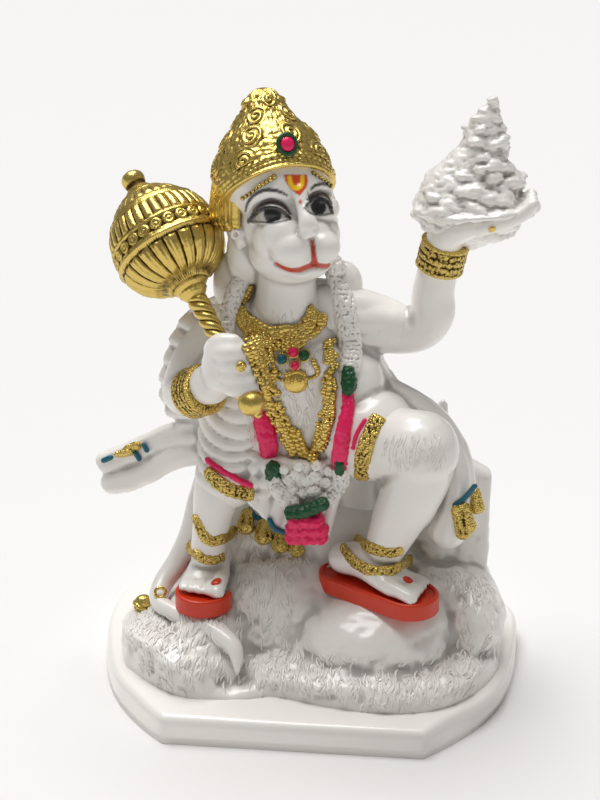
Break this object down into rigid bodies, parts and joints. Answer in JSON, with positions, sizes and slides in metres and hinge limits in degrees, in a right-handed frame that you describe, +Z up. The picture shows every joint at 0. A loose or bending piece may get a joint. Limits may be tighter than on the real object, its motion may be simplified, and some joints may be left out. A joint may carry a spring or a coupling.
{
  "type": "hanuman statue",
  "caption": "Painted cast statue of Hanuman striding over rocks, a round fluted mace on his shoulder and a small mountain raised on his left hand, cast in one with its plinth.",
  "frame": {"origin": "centre of the plinth's flat underside", "axes": "+Z up, -Y towards the front of the statue, +X towards its raised left hand"},
  "size_m": [0.1626, 0.11, 0.2215],
  "materials": {
    "glazed_resin": "white marble dust and resin casting, polished, with a clear gloss lacquer",
    "gold_paint": "gold paint over the casting, brown in its hollows",
    "pink_enamel": "bright pink enamel",
    "green_enamel": "dark green enamel",
    "teal_enamel": "teal blue enamel",
    "orange_enamel": "orange red enamel"
  },
  "bodies": {
    "root": {"hanuman_statue": "glazed_resin"}
  },
  "joints": []
}
